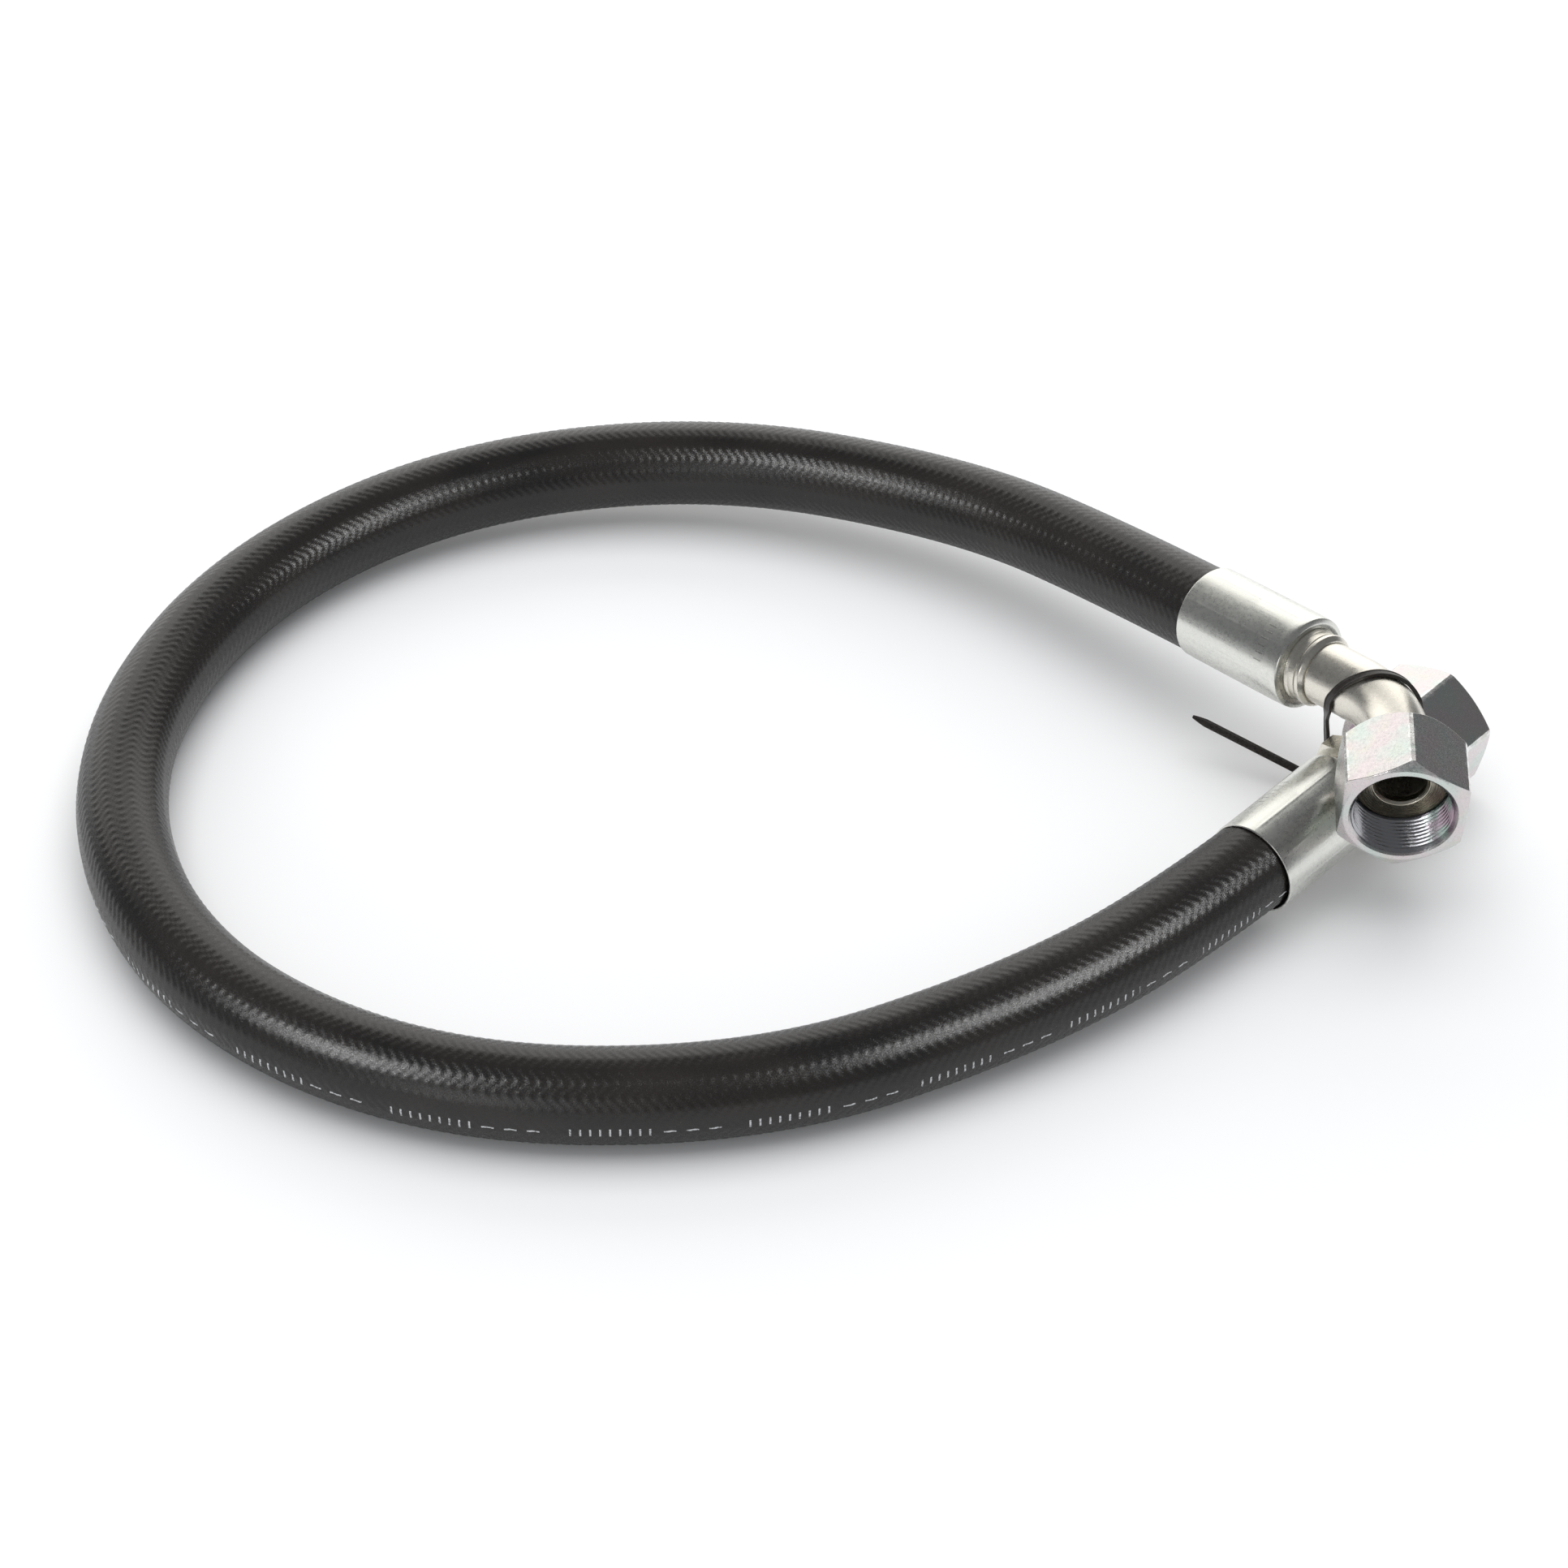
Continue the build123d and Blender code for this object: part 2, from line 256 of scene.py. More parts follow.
def lathe(name, profile, place, material, body, segments=128, ripple=None):
    """Turned piece from a closed profile of (radius, height), placed by a local frame."""
    verts = []
    local = []
    for radius, height in profile:
        for k in range(segments):
            angle = 2 * pi * k / segments
            grown = radius + (ripple(radius, height, angle) if ripple else 0.0)
            point = Vector((grown * cos(angle), grown * sin(angle), height))
            verts.append(place @ point)
            local.append(point)
    rings = len(profile)
    faces = []
    for ring in range(rings):
        low = ring * segments
        high = (ring + 1) % rings * segments
        for k in range(segments):
            side = (k + 1) % segments
            faces.append((low + k, low + side, high + side, high + k))
    return finish_mesh(name, verts, faces, local, material, body)


def divided(profile, longest):
    """The same closed profile with its long straight stretches cut into shorter ones."""
    result = []
    for k, start in enumerate(profile):
        stop = profile[(k + 1) % len(profile)]
        pieces = max(1, int(hypot(stop[0] - start[0], stop[1] - start[1]) / longest))
        for step in range(pieces):
            t = step / pieces
            result.append((start[0] + (stop[0] - start[0]) * t, start[1] + (stop[1] - start[1]) * t))
    return result


# ------------------------------------------------------------ material helpers
class Paint:
    """A node material with one Principled shader and short calls for its usual nodes."""

    def __init__(self, name, colour, metallic, roughness):
        self.material = bpy.data.materials.new(name)
        self.material.use_nodes = True
        self.tree = self.material.node_tree
        self.shader = self.tree.nodes["Principled BSDF"]
        self.shader.inputs["Base Color"].default_value = (*colour, 1.0)
        self.shader.inputs["Metallic"].default_value = metallic
        self.shader.inputs["Roughness"].default_value = roughness
        self.local = self.node("ShaderNodeAttribute", attribute_name="local").outputs["Vector"]

    def node(self, kind, **settings):
        made = self.tree.nodes.new(kind)
        for key, value in settings.items():
            setattr(made, key, value)
        return made

    def link(self, source, target):
        self.tree.links.new(source, target)

    def scaled(self, x, y, z):
        """Local millimetres times a scale for each axis."""
        mapping = self.node("ShaderNodeMapping")
        mapping.inputs["Scale"].default_value = (x, y, z)
        self.link(self.local, mapping.inputs["Vector"])
        return mapping.outputs["Vector"]

    def noise(self, vector, scale, detail=4.0, rough=0.6):
        made = self.node("ShaderNodeTexNoise")
        made.inputs["Scale"].default_value = scale
        made.inputs["Detail"].default_value = detail
        made.inputs["Roughness"].default_value = rough
        self.link(vector, made.inputs["Vector"])
        return made.outputs["Fac"]

    def ranged(self, value, low, high, to_low, to_high):
        """Value from one range to another, held at its ends."""
        made = self.node("ShaderNodeMapRange")
        numbers = {"From Min": low, "From Max": high, "To Min": to_low, "To Max": to_high}
        for name, number in numbers.items():
            made.inputs[name].default_value = number
        self.link(value, made.inputs["Value"])
        return made.outputs["Result"]

    def maths(self, operation, a, b=None):
        made = self.node("ShaderNodeMath", operation=operation)
        for socket, value in zip(made.inputs, (a, b)):
            if isinstance(value, (int, float)):
                socket.default_value = value
            elif value is not None:
                self.link(value, socket)
        return made.outputs["Value"]

    def mix(self, factor, a, b):
        """Blend of two colours, each a tuple or a socket."""
        made = self.node("ShaderNodeMix", data_type="RGBA")
        self.link(factor, made.inputs[0])
        for socket, value in ((made.inputs[6], a), (made.inputs[7], b)):
            if isinstance(value, tuple):
                socket.default_value = (*value, 1.0)
            else:
                self.link(value, socket)
        return made.outputs[2]

    def bump(self, height, distance, strength=1.0):
        made = self.node("ShaderNodeBump")
        made.inputs["Distance"].default_value = distance * MM
        made.inputs["Strength"].default_value = strength
        self.link(height, made.inputs["Height"])
        self.link(made.outputs["Normal"], self.shader.inputs["Normal"])

    def apart(self):
        """The three parts of the local place, by name."""
        made = self.node("ShaderNodeSeparateXYZ")
        self.link(self.local, made.inputs[0])
        return made.outputs

    def repeating(self, value, period, share, comparison="LESS_THAN"):
        """1 in a share of each period along a value, 0 in the rest."""
        return self.maths(comparison, self.maths("FRACT", self.maths("DIVIDE", value, period)), share)

    def colour(self, socket):
        self.link(socket, self.shader.inputs["Base Color"])

    def roughness(self, socket):
        self.link(socket, self.shader.inputs["Roughness"])


INK_TURN = radians(95)
INK_GROUP = 47.0


def rubber_paint():
    """Black rubber with a fine grain, faint dust and a row of pale marks."""
    paint = Paint("hose_rubber", (0.02, 0.02, 0.02), 0.0, 0.4)
    paint.shader.inputs["Specular IOR Level"].default_value = 0.42
    fine = paint.noise(paint.local, 2.2, 6.0, 0.7)
    wide = paint.noise(paint.scaled(1, 1, 0.4), 0.06, 3.0)
    patches = paint.ranged(wide, 0.35, 0.65, 0, 1)
    base = paint.mix(patches, (0.0045, 0.0040, 0.0038), (0.0100, 0.0085, 0.0075))
    dust = paint.noise(paint.local, 1.3, 2.0, 0.5)
    dusty = paint.mix(paint.ranged(dust, 0.77, 0.80, 0, 0.4), base, (0.22, 0.20, 0.18))
    apart = paint.apart()
    around = paint.maths("ARCTAN2", apart["Y"], apart["X"])
    height = paint.maths("MULTIPLY", paint.maths("ADD", around, INK_TURN), HOSE_R)
    paint.colour(ink_marks(paint, dusty, height, apart["Z"]))
    paint.roughness(paint.ranged(fine, 0.3, 0.75, 0.22, 0.36))
    paint.bump(fine, 0.14, 0.5)
    return paint.material


def ink_marks(paint, under, height, along):
    """A row of plain pale dashes and ticks along the hose, in groups with gaps."""
    ticks = paint.repeating(along, 2.6, 0.2)
    in_ticks = paint.repeating(along, INK_GROUP, 0.5)
    tall = paint.maths("LESS_THAN", paint.maths("ABSOLUTE", height), 1.4)
    strokes = paint.maths("MULTIPLY", paint.maths("MULTIPLY", ticks, in_ticks), tall)
    dashes = paint.repeating(along, 5.9, 0.55)
    in_dashes = paint.repeating(along, INK_GROUP, 0.62, "GREATER_THAN")
    thin = paint.maths("LESS_THAN", paint.maths("ABSOLUTE", height), 0.28)
    lines = paint.maths("MULTIPLY", paint.maths("MULTIPLY", dashes, in_dashes), thin)
    ink = paint.maths("MAXIMUM", strokes, lines)
    worn = paint.ranged(paint.noise(paint.local, 1.6, 3.0), 0.38, 0.5, 0.25, 0.9)
    return paint.mix(paint.maths("MULTIPLY", ink, worn), under, (0.42, 0.43, 0.44))


def plated_paint(name, light, dark, stretch, speck, marked=False):
    """Zinc plated steel: drawn lines along the axis, crystalline mottling and small dark specks."""
    paint = Paint(name, light, 1.0, 0.3)
    paint.shader.inputs["Anisotropic"].default_value = 0.35
    lines = paint.noise(paint.scaled(1, 1, stretch), 1.7, 5.0, 0.6)
    crystals = paint.noise(paint.scaled(1, 1, 0.8), 0.75, 7.0, 0.72)
    cloud = paint.noise(paint.scaled(1, 1, 0.5), 0.10, 2.0, 0.5)
    grains = paint.noise(paint.local, 2.6, 3.0, 0.6)
    tone = paint.mix(paint.ranged(crystals, 0.30, 0.62, 0, 1), dark, light)
    tone = paint.mix(paint.ranged(cloud, 0.42, 0.62, 0, 0.2), tone, dark)
    tone = paint.mix(paint.ranged(lines, 0.60, 0.74, 0, 0.4), tone, tuple(0.55 * c for c in dark))
    tone = paint.mix(paint.ranged(grains, 0.71, 0.77, 0, speck), tone, (0.16, 0.16, 0.16))
    height = paint.maths("ADD", lines, paint.maths("MULTIPLY", crystals, 0.6))
    if marked:
        marks = stamped_marks(paint)
        # The pressed strokes are also painted darker: painted shade in their recesses.
        tone = paint.mix(paint.maths("MULTIPLY", marks, 0.6), tone, (0.22, 0.21, 0.19))
        height = paint.maths("SUBTRACT", height, paint.maths("MULTIPLY", marks, 2.5))
    paint.colour(tone)
    paint.roughness(paint.ranged(crystals, 0.3, 0.7, 0.24, 0.33))
    paint.bump(height, 0.05, 0.45)
    return paint.material


def stamped_marks(paint):
    """Two short rows of plain tally strokes pressed into a ferrule, one round it and one along it."""
    apart = paint.apart()
    angle = paint.maths("ARCTAN2", apart["Y"], apart["X"])
    arc = paint.maths("MULTIPLY", angle, FERRULE_R)
    along = apart["Z"]
    rows = []
    layout = ((arc, along, 34.0, 6.0, 20.0), (along, arc, -9.0, 12.0, 27.0))
    for step_on, run_on, centre, first, last in layout:
        stroke = paint.repeating(step_on, 2.3, 0.16)
        offset = paint.maths("ABSOLUTE", paint.maths("SUBTRACT", run_on, centre))
        inside = paint.maths("MULTIPLY", paint.maths("LESS_THAN", offset, 1.5), stroke)
        after = paint.maths("MULTIPLY", paint.maths("GREATER_THAN", step_on, first), inside)
        rows.append(paint.maths("MULTIPLY", paint.maths("LESS_THAN", step_on, last), after))
    return paint.maths("MAXIMUM", rows[0], rows[1])


def nut_paint():
    """Zinc with faint rainbow patches and a crystalline grain, worn corners, and a thread painted darker as
    painted shade in the bore, with a painted pink and green glint on one side.
    """
    paint = Paint("nut_zinc", (0.62, 0.62, 0.62), 1.0, 0.25)
    wide = paint.noise(paint.local, 0.10, 2.0, 0.5)
    other = paint.noise(paint.local, 0.13, 2.0, 0.5)
    crystals = paint.noise(paint.local, 1.1, 8.0, 0.74)
    waves = paint.noise(paint.local, 0.35, 2.0, 0.5)
    grains = paint.noise(paint.local, 1.9, 3.0, 0.6)
    tone = paint.mix(paint.ranged(wide, 0.38, 0.62, 0, 1), (0.66, 0.60, 0.61), (0.58, 0.64, 0.61))
    tone = paint.mix(paint.ranged(other, 0.52, 0.72, 0, 0.6), tone, (0.64, 0.63, 0.55))
    tone = paint.mix(paint.ranged(crystals, 0.52, 0.74, 0, 0.4), tone, (0.44, 0.45, 0.46))
    tone = paint.mix(paint.ranged(grains, 0.74, 0.78, 0, 0.6), tone, (0.16, 0.16, 0.16))
    apart = paint.apart()
    reach = paint.node("ShaderNodeVectorMath", operation="LENGTH")
    flat = paint.node("ShaderNodeCombineXYZ")
    paint.link(apart["X"], flat.inputs["X"])
    paint.link(apart["Y"], flat.inputs["Y"])
    paint.link(flat.outputs["Vector"], reach.inputs[0])
    radius = reach.outputs["Value"]
    uneven = paint.maths("MULTIPLY", paint.ranged(waves, 0.3, 0.7, 0, 1), 0.9)
    worn = paint.maths("ADD", radius, uneven)
    tone = paint.mix(paint.ranged(worn, 20.75, 20.95, 0, 0.85), tone, (0.86, 0.86, 0.85))
    # Painted glint: a pink and green tint put on one side of the thread only, the rest of the thread
    # painted dark grey as painted shade in the bore.
    painted_glint = paint.mix(paint.ranged(wide, 0.44, 0.56, 0, 1), (0.58, 0.42, 0.51), (0.42, 0.56, 0.49))
    side = paint.ranged(apart["Y"], -13.5, -7.0, 0.8, 0)
    thread = paint.mix(side, (0.42, 0.42, 0.44), painted_glint)
    # Inside the bore the colour becomes the thread's painted shade and painted glint.
    inside = paint.ranged(radius, 15.1, 15.4, 1, 0)
    paint.colour(paint.mix(inside, tone, thread))
    rough = paint.ranged(crystals, 0.3, 0.7, 0.16, 0.34)
    smoother = paint.maths("SUBTRACT", rough, paint.maths("MULTIPLY", inside, 0.06))
    paint.roughness(smoother)
    fine_relief = paint.maths("MULTIPLY", crystals, 0.7)
    relief = paint.maths("ADD", fine_relief, paint.maths("MULTIPLY", waves, 0.8))
    paint.bump(relief, 0.12, 0.45)
    return paint.material


def turned_paint():
    """Face-turned steel of the sealing sleeve, with fine rings round its axis."""
    paint = Paint("turned_steel", (0.52, 0.49, 0.42), 1.0, 0.26)
    paint.shader.inputs["Anisotropic"].default_value = 0.7
    apart = paint.apart()
    east = paint.maths("POWER", apart["X"], 2.0)
    north = paint.maths("POWER", apart["Y"], 2.0)
    radius = paint.maths("SQRT", paint.maths("ADD", east, north))
    rings = paint.node("ShaderNodeTexNoise", noise_dimensions="2D")
    joined = paint.node("ShaderNodeCombineXYZ")
    paint.link(radius, joined.inputs["X"])
    paint.link(apart["Z"], joined.inputs["Y"])
    paint.link(joined.outputs["Vector"], rings.inputs["Vector"])
    rings.inputs["Scale"].default_value = 3.5
    rings.inputs["Detail"].default_value = 5.0
    cloud = paint.noise(paint.local, 0.25, 4.0)
    tone = paint.mix(paint.ranged(cloud, 0.35, 0.65, 0, 1), (0.52, 0.49, 0.41), (0.66, 0.62, 0.52))
    paint.colour(tone)
    paint.roughness(paint.ranged(rings.outputs["Fac"], 0.3, 0.7, 0.18, 0.36))
    paint.bump(rings.outputs["Fac"], 0.03, 0.5)
    return paint.material


def nylon_paint():
    paint = Paint("black_nylon", (0.018, 0.015, 0.013), 0.0, 0.35)
    grain = paint.noise(paint.local, 1.4, 4.0)
    patches = paint.ranged(grain, 0.3, 0.7, 0, 1)
    paint.colour(paint.mix(patches, (0.014, 0.012, 0.011), (0.030, 0.025, 0.021)))
    paint.roughness(paint.ranged(grain, 0.3, 0.7, 0.24, 0.38))
    paint.bump(grain, 0.05, 0.5)
    return paint.material


def plain_paint(name, colour, metallic, roughness):
    """Material of a piece that lies hidden inside the hose, with a light grain."""
    paint = Paint(name, colour, metallic, roughness)
    grain = paint.noise(paint.local, 1.2, 3.0)
    paint.colour(paint.mix(paint.ranged(grain, 0.3, 0.7, 0, 1), colour, tuple(0.7 * c for c in colour)))
    paint.bump(grain, 0.05, 0.4)
    return paint.material


RUBBER = rubber_paint()
FERRULE_ZINC = plated_paint(
    "ferrule_zinc", light=(0.82, 0.82, 0.77), dark=(0.68, 0.69, 0.66), stretch=0.025, speck=0.4, marked=True
)
STEM_ZINC = plated_paint(
    "stem_zinc", light=(0.82, 0.79, 0.71), dark=(0.76, 0.73, 0.66), stretch=0.35, speck=0.08
)
NUT_ZINC = nut_paint()
TURNED = turned_paint()
NYLON = nylon_paint()
LINER = plain_paint("liner_rubber", (0.02, 0.02, 0.02), 0.0, 0.6)
BRAID = plain_paint("braid_wire", (0.60, 0.52, 0.38), 1.0, 0.35)


# ------------------------------------------------------------ hose
def path_frames(points):
    """(place in metres, up, side, distance in millimetres) at each point of a line."""
    frames = []
    run = 0.0
    last = len(points) - 1
    for k, place in enumerate(points):
        axis = (points[min(k + 1, last)] - points[max(k - 1, 0)]).normalized()
        if k:
            run += (place - points[k - 1]).length / MM
        up = up_from(axis)
        frames.append((place, up, axis.cross(up), run))
    return frames


def wrap_relief(row, run):
    """Height of the fabric-wrap ridges: slanting strokes whose slant turns over in each row."""
    swing = abs((row % 2.0) - 1.0)
    stroke = abs(sin(pi * (run / RIDGE_PITCH + 1.2 * swing)))
    seam = 0.8 + 0.2 * cos(2 * pi * row)
    return RIDGE_HEIGHT * (stroke * seam - 1.0)


def tube_along(name, frames, outer, inner, around, relief, material):
    """Hollow tube along the frames, with closed ends and an optional relief outside."""
    verts = []
    local = []
    for place, up, side, run in frames:
        for k in range(around):
            angle = 2 * pi * k / around
            radius = outer + (wrap_relief(k * ROWS_AROUND / around, run) if relief else 0.0)
            verts.append(place + (up * cos(angle) + side * sin(angle)) * radius * MM)
            local.append((radius * cos(angle), radius * sin(angle), run))
    skin = len(verts)
    step = 20 if relief else 1
    inside = frames[::step] + ([frames[-1]] if (len(frames) - 1) % step else [])
    for place, up, side, run in inside:
        for k in range(around):
            angle = 2 * pi * k / around
            verts.append(place + (up * cos(angle) + side * sin(angle)) * inner * MM)
            local.append((inner * cos(angle), inner * sin(angle), run))
    faces = []
    for start, rings, flip in ((0, len(frames), False), (skin, len(inside), True)):
        for ring in range(rings - 1):
            low = start + ring * around
            for k in range(around):
                side = (k + 1) % around
                face = (low + k, low + side, low + around + side, low + around + k)
                faces.append(face[::-1] if flip else face)
    ends = ((0, skin, True), (skin - around, len(verts) - around, False))
    for out_ring, in_ring, flip in ends:
        for k in range(around):
            side = (k + 1) % around
            face = (out_ring + k, out_ring + side, in_ring + side, in_ring + k)
            faces.append(face[::-1] if flip else face)
    return finish_mesh(name, verts, faces, local, material, "hose", sharp=60.0)


hose_points = route_points("hose_line", HOSE_ROUTE, SPAN_STEPS)
hose_frames = path_frames(hose_points)
cover = tube_along("cover", hose_frames, HOSE_R, BRAID_R, ROWS_AROUND * 4, True, RUBBER)
braid = tube_along("braid", hose_frames[::6], BRAID_R, LINER_R, 48, False, BRAID)
liner = tube_along("liner", hose_frames[::6], LINER_R, BORE_R, 48, False, LINER)
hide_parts("hose_cover")
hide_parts("wire_braid")
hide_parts("hose_liner")


# ------------------------------------------------------------ ferrules
def crimp_ripple(radius, height, angle):
    """Eight shallow die marks pressed along a ferrule, fading out at its ends."""
    if radius < FERRULE_R - 0.35:
        return 0.0
    fade = max(0.0, min(1.0, (height - 1.5) / 2.0, (FERRULE_LEN - 2.5 - height) / 2.0))
    wave = abs(((angle / (pi / 4)) % 1.0) - 0.5) * 2.0
    return fade * (0.10 * max(0.0, (wave - 0.90) / 0.10) - 0.05 * (1.0 - wave))


def ferrule_profile():
    ribs = []
    for low in (8.0, 14.0, 20.0, 26.0, 32.0):
        ribs += [(FERRULE_GRIP_R, low), (FERRULE_RIB_R, low + 0.4)]
        ribs += [(FERRULE_RIB_R, low + 2.6), (FERRULE_GRIP_R, low + 3.0)]
    inner = [(FERRULE_MOUTH_R, 0.0), (FERRULE_MOUTH_R, 3.5), (FERRULE_GRIP_R, 5.0)] + ribs
    inner += [(FERRULE_GRIP_R, FERRULE_WALL_START), (FERRULE_HOLE_R, FERRULE_WALL_START)]
    inner += [(FERRULE_HOLE_R, 42.6)]
    outer = [(11.9, FERRULE_LEN), (13.2, FERRULE_LEN), (14.6, 42.1), (FERRULE_R, 40.9), (FERRULE_R, 0.0)]
    return divided(rounded(inner + outer, 0.3), 1.6)


def ferrule(name, place, node):
    profile = ferrule_profile()
    piece = lathe(name, profile, place, FERRULE_ZINC, "hose", segments=256, ripple=crimp_ripple)
    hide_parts(node)


ferrule("ferrule_straight", STRAIGHT, "straight_ferrule")
ferrule("ferrule_elbow", ELBOW, "elbow_ferrule")


# ------------------------------------------------------------ stems, one turned piece each
def insert_profile():
    """The barbed insert, its collar and the groove behind the ferrule's wall."""
    profile = [(FLOW_R, 3.0), (9.0, 3.0), (TAIL_R, 4.5)]
    for k in range(BARB_COUNT):
        low = 5.0 + BARB_PITCH * k
        profile += [(TAIL_R, low), (BARB_R, low + 3.2), (TAIL_R, low + 3.6)]
    profile += [(TAIL_R, HOSE_INSERT), (COLLAR_R, HOSE_INSERT), (COLLAR_R, FERRULE_WALL_START)]
    profile += [(LOCK_GROOVE_R, FERRULE_WALL_START), (LOCK_GROOVE_R, FERRULE_LEN - 0.8)]
    return profile


def straight_stem():
    neck_end = STRAIGHT_LEN - TUBE_SEAT
    profile = insert_profile()
    profile += [(COLLAR_R, FERRULE_LEN - 0.4), (COLLAR_R, 46.4), (11.1, 47.0), (TUBE_R, 47.2)]
    profile += [(TUBE_R, neck_end), (FLOW_R, neck_end)]
    piece = lathe("stem_straight", divided(rounded(profile, 0.3), 3.0), STRAIGHT, STEM_ZINC, "hose")
    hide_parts("straight_hose_tail")


def elbow_stem():
    profile = insert_profile()
    profile += [(11.65, FERRULE_LEN - 0.4), (11.65, 43.1), (11.3, 44.0), (11.2, 46.4), (11.5, 47.0)]
    profile += [(11.5, 48.3), (10.4, 49.5), (TUBE_R, 49.7), (TUBE_R, TUBE_START)]
    profile += [(FLOW_R, TUBE_START)]
    piece = lathe("stem_elbow", divided(rounded(profile, 0.25), 3.0), ELBOW, STEM_ZINC, "hose")
    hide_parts("elbow_hose_tail")


straight_stem()
elbow_stem()


# ------------------------------------------------------------ solids to be cut, in local millimetres
def ringed_solid(name, rows):
    """Scratch closed solid through rows of (radius, height), each row spaced evenly round the axis."""
    mesh = bmesh.new()
    rings = []
    for row in rows:
        ring = []
        for k, (radius, height) in enumerate(row):
            angle = 2 * pi * k / len(row)
            ring.append(mesh.verts.new((radius * cos(angle), radius * sin(angle), height)))
        rings.append(ring)
    for low, high in zip(rings, rings[1:]):
        for k in range(len(low)):
            side = (k + 1) % len(low)
            mesh.faces.new((low[k], low[side], high[side], high[k]))
    mesh.faces.new(rings[0][::-1])
    mesh.faces.new(rings[-1])
    bmesh.ops.recalc_face_normals(mesh, faces=mesh.faces)
    data = bpy.data.meshes.new(name)
    mesh.to_mesh(data)
    mesh.free()
    solid = bpy.data.objects.new(name, data)
    scene.collection.objects.link(solid)
    return solid


def solid_lathe(name, profile):
    """Scratch solid of revolution, closed flat across both ends of its profile."""
    return ringed_solid(name, [[corner] * TURNED_SEGMENTS for corner in profile])


def hex_solid(name, flats, low, high):
    """Scratch hexagonal prism."""
    corner = flats / 2 / cos(pi / 6)
    return ringed_solid(name, [[(corner, low)] * 6, [(corner, high)] * 6])


def applied(solid):
    """The solid with its modifiers made permanent."""
    bpy.context.view_layer.update()
    graph = bpy.context.evaluated_depsgraph_get()
    made = bpy.data.meshes.new_from_object(solid.evaluated_get(graph))
    solid.modifiers.clear()
    solid.data = made
    return solid


def combined(solid, other, operation):
    """The first solid after a boolean with the second, which is used up."""
    step = solid.modifiers.new("cut", "BOOLEAN")
    step.operation = operation
    step.solver = "EXACT"
    step.object = other
    applied(solid)
    bpy.data.objects.remove(other)
    return solid


def bevelled(solid, width):
    """The solid with its sharper edges rounded."""
    step = solid.modifiers.new("edges", "BEVEL")
    step.width = width
    step.segments = 3
    step.limit_method = "ANGLE"
    step.angle_limit = radians(18.0)
    return applied(solid)


def settle(solid, place, material, body, sharp=35.0):
    """A scratch solid becomes a finished piece at its place."""
    verts = [v.co.copy() for v in solid.data.vertices]
    faces = [tuple(p.vertices) for p in solid.data.polygons]
    name = solid.name
    bpy.data.objects.remove(solid)
    return finish_mesh(name, [place @ v for v in verts], faces, verts, material, body, sharp)


def stem_hexagon():
    corner = STEM_HEX_FLATS / 2 / cos(pi / 6)
    crown = [(corner - 1.8, STEM_HEX_START), (corner + 0.1, 47.9)]
    crown += [(corner + 0.1, 53.1), (corner - 1.8, STEM_HEX_END)]
    solid = hex_solid("stem_hexagon", STEM_HEX_FLATS, 46.0, 55.0)
    solid = bevelled(combined(solid, solid_lathe("crown", crown), "INTERSECT"), 0.25)
    hole = [(TUBE_R, 40.0), (TUBE_R, 60.0)]
    solid = combined(solid, solid_lathe("hole", hole), "DIFFERENCE")
    piece = settle(solid, STEM_HEX, STEM_ZINC, "hose")


stem_hexagon()


# ------------------------------------------------------------ swivel nuts with cut threads
def thread_radius(height, angle):
    """Wall radius of the cut thread, a 60 degree form with small flats."""
    phase = (height / PITCH - angle / (2 * pi)) % 1.0
    tooth = min(1.0, max(0.0, 1.22 * abs(2 * phase - 1.0) - 0.11))
    return MINOR_R + (MAJOR_R - MINOR_R) * tooth


def thread_plug():
    """Scratch solid of the space inside a nut, threads and all."""
    rows = []
    count = int(THREAD_END / PITCH * THREAD_STEPS)
    for level in range(count + 1):
        height = -THREAD_END * level / count
        mouth = MOUTH_R + height if height > -1.8 else 0.0
        row = []
        for k in range(THREAD_SEGMENTS):
            row.append((max(thread_radius(height, 2 * pi * k / THREAD_SEGMENTS), mouth), height))
        rows.append(row)
    front = [(17.2, 1.2), (15.95, 0.02)]
    back = [(RELIEF_R, -THREAD_END - 0.05), (RELIEF_R, -RELIEF_END), (CAVITY_R, -RELIEF_END - 0.05)]
    back += [(CAVITY_R, -CAVITY_END), (LIP_R, -CAVITY_END - 0.05), (LIP_R, -NUT_LEN - 1.0)]
    front_rows = [[corner] * THREAD_SEGMENTS for corner in front]
    back_rows = [[corner] * THREAD_SEGMENTS for corner in back]
    return ringed_solid("plug", front_rows + rows + back_rows)


def swivel_nut(name, place, node):
    outer = NUT_FLATS / 2 / cos(pi / 6) - CORNER_CUT
    crown = [(NUT_FRONT_R, 0), (outer, -1.5), (outer, -NUT_LEN + 3.4), (NUT_BACK_R, -NUT_LEN)]
    solid = hex_solid(name, NUT_FLATS, -NUT_LEN - 1.0, 1.0)
    solid = bevelled(combined(solid, solid_lathe("crown", crown), "INTERSECT"), 0.35)
    solid = combined(solid, thread_plug(), "DIFFERENCE")
    piece = settle(solid, place, NUT_ZINC, node, sharp=28.0)
    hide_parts(node)


swivel_nut("nut_straight", STRAIGHT_SWIVEL, "straight_nut")
swivel_nut("nut_elbow", ELBOW_SWIVEL, "elbow_nut")


